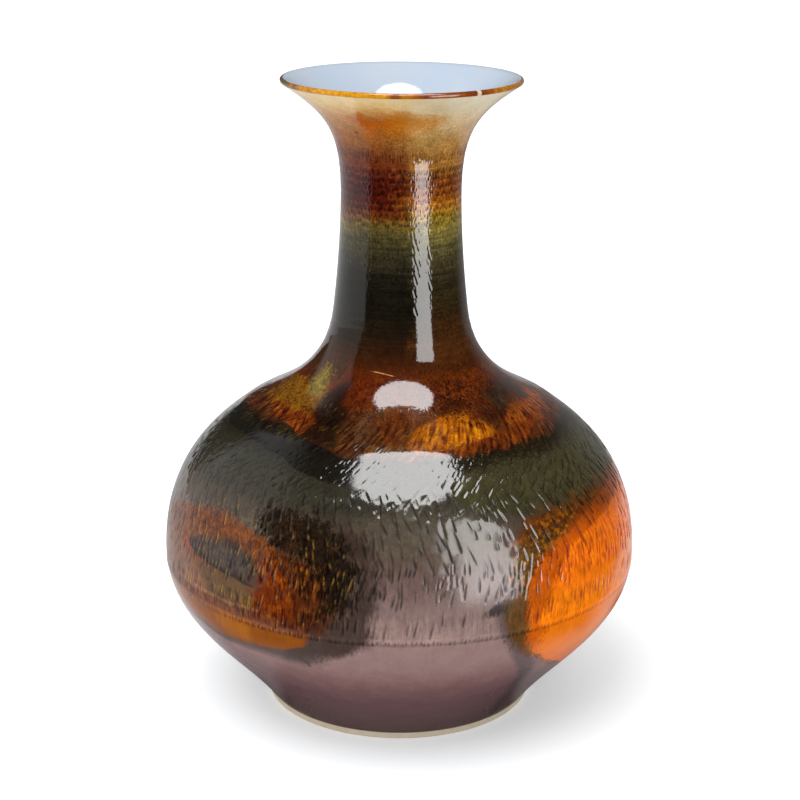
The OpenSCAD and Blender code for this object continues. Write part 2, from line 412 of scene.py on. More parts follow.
class Wire:
    """A number in a material's node tree, so that a pattern reads as a formula."""

    def __init__(self, tree, socket):
        self.tree = tree
        self.socket = socket

    def math(self, operation, *others):
        node = self.tree.nodes.new("ShaderNodeMath")
        node.operation = operation
        for slot, value in zip(node.inputs, (self, *others)):
            join(self.tree, value, slot)
        return Wire(self.tree, node.outputs[0])

    def __add__(self, other):
        return self.math("ADD", other)

    def __sub__(self, other):
        return self.math("SUBTRACT", other)

    def __mul__(self, other):
        return self.math("MULTIPLY", other)

    def __truediv__(self, other):
        return self.math("DIVIDE", other)

    def squared(self):
        return self.math("POWER", 2)

    def root(self):
        return self.math("SQRT")

    def size(self):
        return self.math("ABSOLUTE")

    def step(self, low, high):
        """0 at low and 1 at high, with an even S between them. Low may be above high."""
        node = self.tree.nodes.new("ShaderNodeMapRange")
        node.interpolation_type = "SMOOTHSTEP"
        flip = low > high
        for key, value in (("Value", self), ("From Min", min(low, high)),
                           ("From Max", max(low, high)), ("To Min", float(flip)),
                           ("To Max", 1.0 - flip)):
            join(self.tree, value, node.inputs[key])
        return Wire(self.tree, node.outputs[0])


def join(tree, value, slot):
    """Sets a socket to a wire, a node's output or a plain value."""
    if isinstance(value, Wire):
        tree.links.new(value.socket, slot)
    elif isinstance(value, bpy.types.NodeSocket):
        tree.links.new(value, slot)
    else:
        slot.default_value = value


def paint(red, green, blue):
    """A screen colour from 0 to 255 as the linear colour that a shader takes."""
    def linear(c):
        c = c / 255
        return c / 12.92 if c <= 0.04045 else ((c + 0.055) / 1.055) ** 2.4
    return linear(red), linear(green), linear(blue), 1.0


class Surface:
    """A material under construction, with the places and noises that its pattern uses."""

    def __init__(self, name, roughness):
        self.material = bpy.data.materials.new(name)
        self.material.use_nodes = True
        self.tree = self.material.node_tree
        self.shader = self.tree.nodes["Principled BSDF"]
        self.shader.inputs["Roughness"].default_value = roughness
        self.place = self.tree.nodes.new("ShaderNodeTexCoord").outputs["Object"]
        split = self.tree.nodes.new("ShaderNodeSeparateXYZ")
        self.tree.links.new(self.place, split.inputs[0])
        x, y, z = (Wire(self.tree, s) for s in split.outputs)
        self.height = z * 1000
        self.angle = x.math("ARCTAN2", y * -1) * math.degrees(1)
        self.degree = (x.squared() + y.squared()).root() * 1000 * math.radians(1)

    def noise(self, across, up, detail=3.0, roughness=0.5, seed=0.0):
        """Noise about 0, from -1 to 1, with grains of that width and height in millimetres."""
        stretch = self.tree.nodes.new("ShaderNodeMapping")
        self.tree.links.new(self.place, stretch.inputs["Vector"])
        stretch.inputs["Scale"].default_value = (1000 / across, 1000 / across, 1000 / up)
        stretch.inputs["Location"].default_value = (seed, seed * 2, seed * 3)
        node = self.tree.nodes.new("ShaderNodeTexNoise")
        self.tree.links.new(stretch.outputs[0], node.inputs["Vector"])
        node.inputs["Scale"].default_value = 1.0
        node.inputs["Detail"].default_value = detail
        node.inputs["Roughness"].default_value = roughness
        return (Wire(self.tree, node.outputs[0]) - 0.5) * 2

    def strokes(self, lean, width, length, seed):
        """Noise about 0 in strokes of that width and length that lean right by lean degrees."""
        c, d = math.cos(math.radians(lean)), math.sin(math.radians(lean))
        across = self.angle * 1.1
        place = self.tree.nodes.new("ShaderNodeCombineXYZ")
        join(self.tree, (across * c - self.height * d) / width, place.inputs[0])
        join(self.tree, (across * d + self.height * c) / length, place.inputs[1])
        place.inputs[2].default_value = seed
        node = self.tree.nodes.new("ShaderNodeTexNoise")
        self.tree.links.new(place.outputs[0], node.inputs["Vector"])
        node.inputs["Scale"].default_value = 1.0
        return (Wire(self.tree, node.outputs[0]) - 0.5) * 2

    def tint(self, colour, by):
        """A colour with its red, green and blue multiplied by three numbers."""
        node = self.tree.nodes.new("ShaderNodeVectorMath")
        node.operation = "MULTIPLY"
        join(self.tree, colour, node.inputs[0])
        node.inputs[1].default_value = by
        return node.outputs[0]

    def ramp(self, value, stops):
        """A colour by value, from stops of (value, colour) in rising order."""
        low, high = stops[0][0], stops[-1][0]
        node = self.tree.nodes.new("ShaderNodeValToRGB")
        join(self.tree, (value - low) / (high - low), node.inputs[0])
        points = node.color_ramp.elements
        while len(points) < len(stops):
            points.new(0.5)
        for point, (at, colour) in zip(points, stops):
            point.position = (at - low) / (high - low)
            point.color = paint(*colour)
        return node.outputs[0]

    def edge(self, share, points):
        """An angle that changes along a drawn line. The points are (share from 0 to 1, angle)."""
        node = self.tree.nodes.new("ShaderNodeFloatCurve")
        join(self.tree, share, node.inputs["Value"])
        line = node.mapping.curves[0].points
        while len(line) < len(points):
            line.new(0.5, 0.5)
        for point, (at, angle) in zip(line, points):
            point.location = at, (angle + 180) / 360
            point.handle_type = "AUTO_CLAMPED"
        node.mapping.update()
        return Wire(self.tree, node.outputs[0]) * 360 - 180

    def area(self, height, angle, rows, shift, soft):
        """1 inside an area and 0 outside it. Its rows go up as (height, left angle, right
        angle), shift moves its edge by millimetres, and soft is the edge's half width."""
        low, high = rows[0][0], rows[-1][0]
        middle = (rows[0][1] + rows[-1][2]) / 2
        share = (height - low) / (high - low)
        turn = (angle - middle).math("WRAP", 180, -180)
        left, right = [self.edge(share, [((row[0] - low) / (high - low), row[k] - middle)
                                         for row in rows]) for k in (1, 2)]
        across = (turn - left).math("MINIMUM", right - turn) * self.degree
        up = (height - low).math("MINIMUM", height * -1 + high)
        return (across.math("MINIMUM", up) + shift).step(-soft, soft)

    def scale(self, colour, factor):
        """A colour made brighter or darker by one factor."""
        node = self.tree.nodes.new("ShaderNodeVectorMath")
        node.operation = "SCALE"
        join(self.tree, colour, node.inputs[0])
        join(self.tree, factor, node.inputs["Scale"])
        return node.outputs[0]

    def mix(self, share, colour, other, blend="MIX"):
        """A colour with that share of another one over it."""
        node = self.tree.nodes.new("ShaderNodeMix")
        node.data_type = "RGBA"
        node.blend_type = blend
        node.clamp_result = True
        join(self.tree, share, node.inputs[0])
        join(self.tree, colour, node.inputs[6])
        join(self.tree, other, node.inputs[7])
        return node.outputs[2]

    def attribute(self, key):
        """A value that the mesh stores at its points."""
        node = self.tree.nodes.new("ShaderNodeAttribute")
        node.attribute_name = key
        return Wire(self.tree, node.outputs["Fac"])

    def bump(self, height, depth):
        """The surface's fine unevenness, with a depth in metres."""
        node = self.tree.nodes.new("ShaderNodeBump")
        join(self.tree, height, node.inputs["Height"])
        node.inputs["Distance"].default_value = depth
        self.tree.links.new(node.outputs[0], self.shader.inputs["Normal"])

    def colour(self, value):
        """Sets the surface's colour and gives its material."""
        join(self.tree, value, self.shader.inputs["Base Color"])
        return self.material


# Colours of the outer glaze by height in millimetres: the body, then the neck's two sides
BODY_BY_HEIGHT = [
    (0, (104, 84, 81)), (20, (110, 84, 84)), (30, (114, 84, 86)), (40, (124, 92, 91)),
    (50, (138, 105, 102)), (62, (148, 118, 114)), (74, (148, 121, 115)), (84, (131, 107, 102)),
    (92, (115, 92, 87)), (100, (101, 79, 73)), (110, (86, 69, 58)), (118, (72, 61, 50)),
    (126, (50, 46, 37)), (134, (45, 42, 31)), (139, (36, 32, 22)), (143, (30, 24, 14)),
]
DUSK_BY_HEIGHT = [
    (141, (44, 26, 12)), (145, (74, 36, 14)), (154, (82, 36, 13)), (162, (84, 32, 8)),
    (168, (84, 32, 6)), (172, (64, 27, 7)), (178, (46, 22, 7)), (187, (28, 18, 8)),
    (197, (20, 16, 9)), (212, (22, 20, 12)), (220, (42, 37, 23)), (227, (60, 53, 30)),
    (233, (84, 73, 36)), (237, (116, 90, 34)), (239.5, (112, 62, 18)), (243, (88, 30, 8)),
    (250, (70, 15, 5)), (256, (82, 24, 10)), (262, (98, 38, 14)), (268, (112, 54, 24)),
    (274, (134, 78, 30)), (280, (152, 94, 38)), (287, (190, 136, 78)), (292, (222, 180, 116)),
    (296, (238, 206, 146)), (300, (236, 212, 164)),
]
GOLD_BY_HEIGHT = [
    (141, (44, 28, 12)), (146, (78, 34, 8)), (154, (86, 36, 8)), (162, (70, 28, 8)),
    (168, (84, 36, 6)), (172, (62, 27, 6)), (178, (70, 36, 10)), (188, (62, 36, 11)),
    (198, (42, 30, 12)), (210, (46, 37, 20)), (220, (66, 58, 34)), (227, (88, 79, 42)),
    (233, (118, 104, 50)), (238, (150, 124, 42)), (242, (160, 118, 32)), (246, (166, 102, 22)),
    (250, (142, 76, 18)), (256, (124, 64, 22)), (262, (144, 94, 34)), (268, (160, 112, 50)),
    (274, (170, 126, 66)), (280, (182, 144, 86)), (286, (202, 172, 120)), (292, (211, 193, 155)),
    (300, (220, 204, 168)),
]

# Colours round the lip by angle in degrees, from the back past the left and the front
LIP_BY_ANGLE = [
    (-180, (126, 70, 20)), (-130, (160, 96, 22)), (-90, (104, 88, 66)), (-70, (110, 92, 62)),
    (-56, (176, 112, 18)), (-40, (206, 142, 22)), (-18, (214, 146, 24)), (-4, (160, 88, 14)),
    (6, (112, 46, 12)), (18, (148, 74, 14)), (30, (110, 48, 14)), (46, (150, 78, 16)),
    (62, (182, 118, 26)), (84, (120, 62, 18)), (120, (170, 110, 28)), (180, (126, 70, 20)),
]

# Where the glaze is satin and not glossy: rows of (height, left angle, right angle)
SATIN = [(58, -24, 28), (75, -16, 27), (85, -14, 28), (100, -14, 28), (112, -10, 27),
         (121, -2, 20)]

# Where the glaze breaks to yellow beside the marks: left, right, shoulder, back
EMBERS = [
    [(60, -80, -20), (72, -80, -15), (84, -84, -10), (100, -80, -9), (110, -70, -13),
     (119, -50, -24)],
    [(50, 26, 140), (72, 25, 140), (86, 25, 140), (100, 27, 140), (112, 29, 136), (121, 36, 120)],
    [(142, -6, 60), (145, -95, 200), (158, -95, 200), (170, -60, 80)],
    [(60, -166, -108), (74, -174, -96), (90, -176, -90), (104, -168, -90), (116, -150, -98)],
]

# Where the orange's upper left edge is mottled
MOTTLED = [(88, 25, 30), (96, 26, 34), (102, 27, 38), (108, 29, 43), (113, 32, 49), (118, 37, 62),
           (122, 46, 68)]

# Areas of other colours, drawn over each other in turn: name, colour, half width of the edge,
# raggedness, speckle, strength, and rows of (height, left angle, right angle) going up
AREAS = [
    ("flare rust", (168, 82, 8), 4.5, 0.7, 3.5, 0.95,
     [(280, -27, 0), (283, -31, 4), (287, -35, 4), (289.5, -26, -8)]),
    ("flare amber", (184, 114, 26), 4.5, 0.7, 3.5, 0.8,
     [(279.5, -6, 14), (283, -8, 24), (287, -6, 28), (289.5, -8, 12)]),
    ("speck", (84, 40, 18), 0.4, 0.1, 0.4, 0.8, [(278.2, -37, -34.6), (279.6, -36.8, -34)]),
    ("shoulder dusk", (58, 28, 14), 3.0, 0.8, 1, 0.75,
     [(144, -34, -8), (150, -38, -6), (156, -34, -10)]),
    ("left orange", (104, 40, 6), 2.2, 0.7, 1.5, 0.95,
     [(147, -46, -34), (149.5, -60, -33), (152, -74, -37), (155, -80, -41)]),
    ("root shade", (50, 31, 16), 3.0, 0.6, 1, 0.7,
     [(163, -92, -50), (168, -94, -40), (174, -94, -40), (178, -94, -48)]),
    ("left gold", (108, 68, 8), 2.0, 0.7, 1.5, 0.95,
     [(153, -88, -42), (156.5, -90, -42), (160, -84, -46), (162, -72, -50)]),
    ("left lime", (118, 98, 30), 2.0, 0.9, 1.5, 0.95,
     [(158, -58, -44), (162, -61, -46), (166, -60, -49), (170.5, -58, -53)]),
    ("dark wedge", (20, 9, 4), 2.4, 0.7, 1, 0.92,
     [(145, -40, -24), (150, -38, -25), (154, -43, -25), (158, -43, -28), (162, -41, -28),
      (167, -36, -30)]),
    ("rust cheek", (84, 31, 5), 2.5, 0.7, 1, 0.9,
     [(158, -30, -12), (164, -31, -10), (168, -27, -8), (170.5, -22, -8)]),
    ("gold tail", (98, 38, 5), 2.0, 0.7, 1, 0.85,
     [(145, 12, 50), (147.5, 18, 60), (151.5, 34, 58)]),
    ("right gold", (158, 84, 6), 2.0, 0.8, 1.5, 0.95,
     [(144, 4, 12), (147, 4, 28), (149.5, 5, 40), (152, 8, 38), (154.5, 16, 34), (157, 24, 34)]),
    ("right shade", (50, 22, 9), 2.2, 0.8, 1, 0.85,
     [(150.5, 40, 54), (153, 38, 58), (156.5, 42, 60)]),
    ("far orange", (140, 66, 8), 2.0, 0.7, 1.5, 0.9,
     [(148, 50, 84), (150, 49, 92), (153, 56, 88)]),
    ("far charcoal", (44, 34, 24), 2.4, 0.7, 1, 0.85,
     [(154, 52, 85), (158, 50, 88), (161.5, 54, 80)]),
    ("right dark", (46, 17, 5), 2.4, 0.8, 1, 0.8, [(156, 22, 36), (160, 22, 40), (163, 26, 36)]),
    ("right rust", (90, 36, 7), 2.4, 0.8, 1, 0.85,
     [(163, 24, 62), (167, 28, 66), (169, 34, 60)]),
    # Painted highlight: a thin pale arc just above the neck's joint, a scratch drawn as the light
    # that it catches
    ("scratch highlight", (206, 150, 84), 0.2, 0.0, 0.2, 0.7,
     [(169.8, -5.4, -3.4), (170.3, -10, -6.5), (170.8, -15, -11), (171.3, -19, -16.5)]),
    ("line left", (20, 17, 12), 1.3, 0.35, 0.8, 0.96,
     [(133.5, -22, -13), (137, -34, -12), (139, -46, -13), (141, -92, -15), (143, -92, -22),
      (145, -90, -30), (148, -80, -50)]),
    ("line right", (30, 21, 10), 1.4, 0.5, 1.2, 0.75,
     [(135.5, 15, 24), (137.5, 14, 36), (140, 16, 64), (142.5, 28, 90), (144, 45, 84)]),
    ("pale middle", (84, 74, 61), 7, 0.6, 1, 0.5,
     [(106, -5, 18), (115, -10, 24), (123, -8, 20), (129, 0, 12)]),
    ("flank shade", (56, 41, 34), 5, 0.4, 1, 0.9,
     [(57, -27, -17), (66, -26, -9), (72, -24, -6), (78, -22, -6), (90, -20, -5),
      (100, -20, -5), (108, -25, -6), (114, -30, -8), (121, -36, -14)]),
    ("left rust", (106, 52, 11), 4, 0.8, 1.5, 0.97,
     [(70, -82, -22), (80, -84, -20), (86, -84, -19), (92, -84, -18), (100, -80, -20),
      (104, -76, -25), (107.5, -70, -30), (110.5, -62, -36), (113.5, -56, -43)]),
    ("left blush", (120, 78, 52), 5, 0.5, 0.5, 0.8,
     [(71, -96, -53), (80, -92, -51), (88, -88, -56), (94, -84, -64)]),
    ("left olive", (86, 60, 24), 3, 0.9, 1, 0.85,
     [(74, -50, -36), (82, -52, -36), (88, -54, -34), (91, -48, -40)]),
    ("flame", (108, 42, 6), 2.6, 0.8, 1, 0.95,
     [(76, -36, -24), (84, -35, -22), (90, -34.5, -23), (96, -34.5, -25), (102, -34, -29)]),
    ("oval", (61, 42, 29), 2.4, 0.6, 1, 0.92,
     [(88.5, -38, -34), (92, -52, -33.5), (96, -60, -34), (100, -57, -36), (104.5, -49, -41)]),
    ("oval slate", (61, 51, 45), 2.6, 0.8, 1, 0.75,
     [(91, -46, -38), (98, -50, -36), (104, -46, -42)]),
    ("oval line", (38, 23, 6), 0.55, 0.12, 0.6, 0.9,
     [(87.7, -36.5, -34.6), (89.3, -42, -36), (90.5, -47, -39), (91.8, -53, -44.5),
      (93.4, -57.4, -50), (95.4, -60.6, -56.5), (96.8, -62, -60)]),
    ("red accent", (150, 48, 22), 0.8, 0.15, 0.8, 0.6,
     [(91.5, -60.5, -59), (95, -63, -59), (98.5, -64, -62.5)]),
    ("flank rust", (70, 30, 9), 3, 0.9, 1, 0.85,
     [(72, -25, -17), (84, -24, -15), (96, -26, -15), (106, -29, -17)]),
    ("dark flank", (30, 20, 10), 3.4, 0.9, 1.5, 0.92,
     [(82, -17, -12), (92, -17, -10), (98, -19, -10), (104, -23, -10), (108, -31, -12),
      (112, -35, -13), (116, -37, -15), (122, -35, -18)]),
    ("crescent shade", (74, 60, 54), 3.2, 0.1, 0.8, 0.85,
     [(54.5, -44, -22), (57, -60, -20), (60, -68, -19), (64, -72, -18.5), (70, -74, -17)]),
    ("crescent", (142, 74, 13), 1.8, 0.35, 2.6, 0.95,
     [(58, -50, -36), (60.5, -64, -28.5), (63, -70, -24.5), (66, -75, -21.5), (70.6, -80, -21)]),
    ("crescent gold", (166, 96, 20), 4, 0.4, 1, 0.75,
     [(60, -44, -38), (66, -47, -37), (71, -46, -38)]),
    ("seam shade", (98, 52, 36), 0.8, 0.05, 0.6, 0.7, [(71.2, -84, -21), (75, -84, -21)]),
    ("seam blush", (140, 92, 64), 0.6, 0.04, 0.4, 0.55, [(75.8, -84, -34), (77.4, -84, -34)]),
    ("hairline", (72, 52, 48), 0.45, 0.02, 0.3, 0.8,
     [(54, -21.4, -20.8), (56, -22.4, -21.6), (58.5, -24, -23.2)]),
    ("streak", (84, 70, 72), 2.5, 0.25, 0.5, 0.8,
     [(2, 39, 45), (10, 38.5, 44), (22, 36.5, 41.5), (32, 34.5, 39.5), (45, 31.5, 36.5),
      (58, 27, 32), (66, 24.5, 29), (72, 23, 28), (84, 21.5, 27)]),
    ("spot", (42, 34, 30), 1.4, 0.3, 0.8, 0.85, [(80.5, 20, 24), (83, 20.5, 26), (85.5, 22, 27)]),
    ("sun rim", (96, 62, 18), 2.0, 0.7, 3, 0.95,
     [(8, 88, 125), (15, 80, 135), (22, 70, 140), (30, 60, 143), (38, 50, 145), (46, 40, 146),
      (52, 34.5, 146), (58, 30, 146), (64, 26.5, 146), (72, 24.5, 145), (84, 24, 144),
      (88, 27, 143), (100, 27.5, 142), (108, 28, 140), (114, 31, 136), (118, 38, 130),
      (121.5, 48, 115)]),
    ("sun", (236, 112, 4), 1.6, 0.6, 3, 0.98,
     [(11, 90, 122), (18, 78, 132), (26, 66.5, 137), (34, 56, 140), (42, 46, 142),
      (48, 40, 143), (54, 35, 143), (60, 32, 143), (70, 31, 142), (84, 31, 141),
      (94, 31.5, 139), (99, 34, 137), (103, 37.5, 135), (107, 42, 132), (111, 49, 126),
      (115, 58, 116), (118, 70, 104)]),
    ("sun low", (242, 126, 8), 6, 0.5, 1, 0.65, [(48, 40, 143), (60, 33, 143), (86, 32, 141)]),
    ("sun shade", (182, 76, 4), 3, 0.7, 1.5, 0.75,
     [(60, 31, 34), (75, 31, 35), (90, 31, 38), (100, 33, 43), (106, 38, 52), (111, 44, 66),
      (115, 52, 84)]),
    ("sun dusk", (92, 42, 7), 4.5, 0.9, 1.5, 0.85, [(110.5, 28, 135), (122, 36, 125)]),
    ("olive right", (62, 57, 34), 3, 0.7, 3, 0.9,
     [(119.5, 34, 128), (125, 18, 132), (133, 15, 132), (138.5, 24, 120)]),
    ("back shade", (56, 41, 34), 5, 0.4, 1, 0.9,
     [(64, -140, -98), (78, -130, -86), (92, -126, -82), (104, -140, -84), (114, -150, -90),
      (121, -150, -100)]),
    ("back rust", (108, 50, 10), 4, 0.8, 1.5, 0.95,
     [(70, -160, -110), (80, -168, -102), (90, -172, -98), (98, -168, -98), (106, -158, -104),
      (113, -146, -116)]),
    ("back flame", (116, 46, 6), 2.6, 0.8, 1, 0.9,
     [(76, -140, -122), (84, -139, -118), (92, -138, -119), (100, -137, -126)]),
    ("back oval", (68, 52, 40), 2.4, 0.6, 1, 0.9,
     [(88, -142, -138), (92, -158, -136), (97, -166, -138), (101, -162, -142),
      (105, -152, -147)]),
    ("back dark", (34, 23, 12), 3.4, 0.9, 1.5, 0.85,
     [(82, -112, -98), (92, -112, -92), (102, -118, -92), (110, -134, -95), (117, -140, -104)]),
    ("back crescent", (150, 80, 14), 1.8, 0.3, 2.4, 0.9,
     [(57, -148, -134), (60, -162, -124), (64, -168, -116), (70.6, -172, -110)]),
    ("back gold", (150, 80, 8), 2, 0.8, 1.5, 0.9,
     [(144, 136, 160), (148, 122, 196), (152, 118, 204), (156, 132, 176)]),
    ("back lime", (120, 96, 26), 2, 0.9, 1.5, 0.85,
     [(154, -140, -112), (160, -144, -108), (166, -134, -120)]),
]


def glaze_material():
    """Olive, rust, mauve and orange glaze, with dark lines where it pools in the marks."""
    s = Surface("outer_glaze_colours", 0.07)
    wide = s.noise(34, 30, 2)
    cloud = s.noise(9, 7, 4, 0.62, seed=3)
    flow = s.noise(2.4, 13, 3, 0.6)
    grain = s.noise(1.0, 1.1, 3, 0.7)
    blot = s.noise(4, 4.5, 4, 0.65, seed=8)
    dash = s.noise(2.4, 0.9, 3, 0.65, seed=12)
    # Upright fibres, which lean with the strokes at the shoulder
    fibre = s.noise(0.9, 5, 2, 0.6, seed=6)
    leaning = s.height.step(122, 128) * s.height.step(154, 151) * s.angle.size().step(172, 158)
    other = s.angle.step(-44, -34)
    stroke = s.strokes(-38, 1.4, 8, 4) * (other * -1 + 1) + s.strokes(42, 1.4, 8, 4) * other
    fibre = fibre + (stroke - fibre) * leaning
    ragged = cloud * 7 + blot * 5 + flow * 3 + fibre * 9
    level = s.height + wide * 2 + cloud * 2 + grain * 1.5
    height = s.height + wide * 3
    angle = s.angle + wide * 1.5
    body = s.ramp(level + cloud * 5 + fibre * 2, BODY_BY_HEIGHT)
    early = s.height.step(236, 248) * 12
    gold = (angle + early + cloud * 24 + fibre * 8).step(2, 28) * angle.step(150, 112)
    neck = s.mix(gold, s.ramp(level, DUSK_BY_HEIGHT), s.ramp(level, GOLD_BY_HEIGHT))
    colour = s.mix(level.step(141, 144), body, neck)
    for turn, (name, tone, soft, rough, speckle, strength, rows) in enumerate(AREAS):
        shift = ragged * (rough * (1 - 2 * (turn % 2))) + grain * (speckle * 1.8)
        colour = s.mix(s.area(height, angle, rows, shift, soft) * strength, colour, paint(*tone))
    # Light and dark fibres between the marks, strongest in the rust, orange and gold
    satin = s.area(height, angle, SATIN, cloud * 6, 7)
    marked = s.height.step(71, 74) * s.height.step(86, 83) + s.height.step(87, 92)
    marked = marked.math("MINIMUM", 1.0) * s.height.step(204, 178)
    rust, bright, band, rear = [s.area(height, angle, rows, ragged * 0.3, 5) for rows in EMBERS]
    # Scales of deep brown and orange on two flanks, each a few millimetres across
    scales = s.noise(2.7, 6.0, 3, 0.55, seed=15) + fibre * 0.35
    flank = rust * s.angle.step(-38, -25) + rear * s.angle.step(-140, -124)
    flank = flank * s.height.step(76, 82)
    rust = rust.math("MAXIMUM", rear)
    core = s.angle.step(-12, -28) * s.height.step(108, 94) * 0.5 + 0.08
    colour = s.mix(scales.step(0.06, 0.34) * flank * core, colour, paint(146, 74, 12))
    colour = s.mix(scales.step(-0.04, -0.28) * flank * 0.66, colour, paint(26, 14, 7))
    # Mottles of gold and brown at the upper left of the orange
    edge = s.area(height, angle, MOTTLED, ragged * 0.3, 3.5)
    spots = s.noise(2.6, 2.3, 4, 0.62, seed=17)
    gilt = spots.step(0.04, 0.26) * edge * s.height.step(121, 112)
    colour = s.mix(gilt * 0.6, colour, paint(176, 108, 14))
    colour = s.mix(spots.step(0.0, -0.22) * edge * 0.65, colour, paint(40, 29, 12))
    heat = rust.math("MAXIMUM", band) * 0.65 + bright * 0.14 + 0.25
    vary = fibre + blot * 0.8
    brushed = band * s.height.step(156, 151)
    colour = s.mix(stroke.step(0.02, 0.24) * brushed * 0.45, colour,
                   s.tint(colour, (1.5, 1.9, 1.3)))
    colour = s.mix(stroke.step(-0.04, -0.24) * brushed * 0.6, colour,
                   s.tint(colour, (0.4, 0.25, 0.25)))
    colour = s.mix(vary.step(0.04, 0.32) * marked * heat, colour, s.tint(colour, (1.5, 1.75, 1.3)))
    colour = s.mix(vary.step(-0.04, -0.32) * marked * heat, colour,
                   s.tint(colour, (0.42, 0.27, 0.25)))
    # Grains above the belly, short dashes and hoops round the neck, and cloudy tones overall
    upper = s.height.step(112, 130) * s.height.step(300, 282)
    colour = s.scale(colour, upper * grain.step(0.0, 0.5) * 0.9 + 1)
    colour = s.scale(colour, dash * (s.height.step(176, 192) * s.height.step(284, 264)) * 0.9 + 1)
    hoops = s.noise(46, 1.3, 3, 0.6, seed=5) * s.height.step(170, 184) * s.height.step(240, 230)
    colour = s.scale(colour, hoops * 0.9 + 1)
    colour = s.scale(colour, grain.step(0.08, 0.5) * -0.35 * s.height.step(48, 75) + 1)
    calm = s.height.step(58, 78) * 0.75 + 0.25
    calm = calm * (s.height.step(276, 290) * -0.6 + 1)
    colour = s.scale(colour, (grain * 0.35 + cloud * 0.45 + flow * 0.3) * calm + 1)
    # Ridges between the neck's rows of ticks, and pale or yellow burrs beside the marks
    lines = [s.attribute(key) for key in ("line", "crest", "ridge")]
    row = lines[2] * (fibre.step(-0.4, 0.5) * 0.8 + 0.2)
    colour = s.scale(colour, row.step(0.0, 1.0) * 0.6 + row.step(0.0, -0.5) * -0.3 + 1)
    colour = s.mix(lines[1] * 0.3, colour, s.tint(colour, (1.7, 1.8, 1.6)))
    broken = (blot + scales * 0.6).step(-0.12, 0.36)
    broken = broken * (rust * 0.75 + bright * 0.3 + band * 0.35)
    colour = s.mix(lines[1] * broken, colour, paint(196, 138, 26), "LIGHTEN")
    # The joint's ridge round the belly is a little paler, with a dark line under it
    over = (s.height - JOINT_OVER).size().step(1.5, 0.3) * (grain.step(-0.3, 0.3) * 0.7 + 0.3)
    under = (s.height + wide * 0.3 + grain * 0.6 - JOINT_UNDER).size().step(1.1, 0.1)
    under = under * (grain.step(-0.3, 0.3) * 0.6 + 0.4) * (s.angle.size().step(60, 20) * 0.2 + 0.15)
    colour = s.scale(colour, over * 0.25 - under + 1)
    # Glaze that has pooled in the marks is the same colour, deeper
    pooled = s.mix(1.0, colour, colour, "MULTIPLY")
    colour = s.mix(lines[0] * 0.95, colour, s.scale(pooled, 0.5))
    # Light that the glaze throws onto the floor is kept faint and grey
    path = s.tree.nodes.new("ShaderNodeLightPath")
    thrown = Wire(s.tree, path.outputs["Is Diffuse Ray"])
    colour = s.mix(thrown * 0.9, colour, paint(70, 66, 64))
    # Roughness: most on the satin zone and near the foot, a little in the marks
    dull = s.height.step(150, 138) * 0.03 + 0.07
    satin = (satin + s.height.step(66, 50)).math("MINIMUM", 1.0)
    rougher = lines[0] * (s.height.step(176, 160) * 0.1 + 0.06)
    join(s.tree, satin * 0.12 + dull + rougher, s.shader.inputs["Roughness"])
    s.bump(s.noise(2.4, 2.8, 2), 0.00002)
    return s.colour(colour)


def plain_material(name, tone, other, grain, roughness):
    """A fired surface of one tone, mottled with a second in grains of that size."""
    s = Surface(name, roughness)
    blot = s.noise(grain, grain, 4, 0.6)
    s.bump(s.noise(grain / 4, grain / 4, 2), 0.00001)
    return s.colour(s.mix(blot.step(-0.6, 0.6) * 0.5, paint(*tone), paint(*other)))


def lip_material():
    """Amber, red-brown and olive-grey in turn round the lip, with a few pale chips."""
    s = Surface("lip_glaze_colours", 0.12)
    runs = s.noise(9, 40, 3, 0.65)
    fine = s.noise(1.6, 1.6, 3, 0.7, seed=2)
    tone = s.ramp(s.angle + runs * 34 + fine * 10, LIP_BY_ANGLE)
    tone = s.scale(tone, fine * 0.9 + 1)
    chips = s.noise(2.2, 2.2, 1, seed=9).step(0.72, 0.8)
    chips = chips.math("MAXIMUM", (s.angle - CHIP_ANGLE).size().step(1.4, 0.9) * 0.9)
    return s.colour(s.mix(chips, tone, paint(226, 206, 178)))


def light_panel(name, centre, target, width, height, power, shape):
    """A lamp that shows only in glossy reflections."""
    lamp = bpy.data.lights.new(name, "AREA")
    lamp.shape = shape
    lamp.size = width
    lamp.size_y = height
    lamp.energy = power
    obj = bpy.data.objects.new(name, lamp)
    obj.location = centre
    obj.rotation_euler = (Vector(target) - Vector(centre)).to_track_quat("-Z", "Y").to_euler()
    obj.visible_camera = False
    obj.visible_diffuse = False
    bpy.context.scene.collection.objects.link(obj)


def world_light():
    """White to the camera, even to matt surfaces, and a dim room to reflections."""
    world = bpy.data.worlds.new("studio")
    bpy.context.scene.world = world
    world.use_nodes = True
    tree = world.node_tree
    shade = tree.nodes["Background"]
    shade.inputs["Color"].default_value = (1, 1, 1, 1)
    path = tree.nodes.new("ShaderNodeLightPath")
    seen = Wire(tree, path.outputs["Is Camera Ray"])
    glossy = Wire(tree, path.outputs["Is Glossy Ray"])
    split = tree.nodes.new("ShaderNodeSeparateXYZ")
    tree.links.new(tree.nodes.new("ShaderNodeTexCoord").outputs["Generated"], split.inputs[0])
    x, y, z = (Wire(tree, s) for s in split.outputs)
    around = x.math("ARCTAN2", y * -1) * math.degrees(1)
    up = z.math("ARCSINE") * math.degrees(1)
    # Above the floor the wall at the left is bright, and less so a low one behind at the right
    wall = (around + up.math("MAXIMUM", 0.0) * 0.45).step(-59, -65) * around.step(-140, -130)
    behind = around.step(118, 150) * up.step(36, 10)
    room = wall * up.step(59, 46) * (ROOM_SIDES - ROOM_DARK) + behind * ROOM_BEHIND + ROOM_DARK
    rest = (glossy * -1 + 1) * MATT_WORLD + glossy * room
    join(tree, seen + (seen * -1 + 1) * rest, shade.inputs["Strength"])


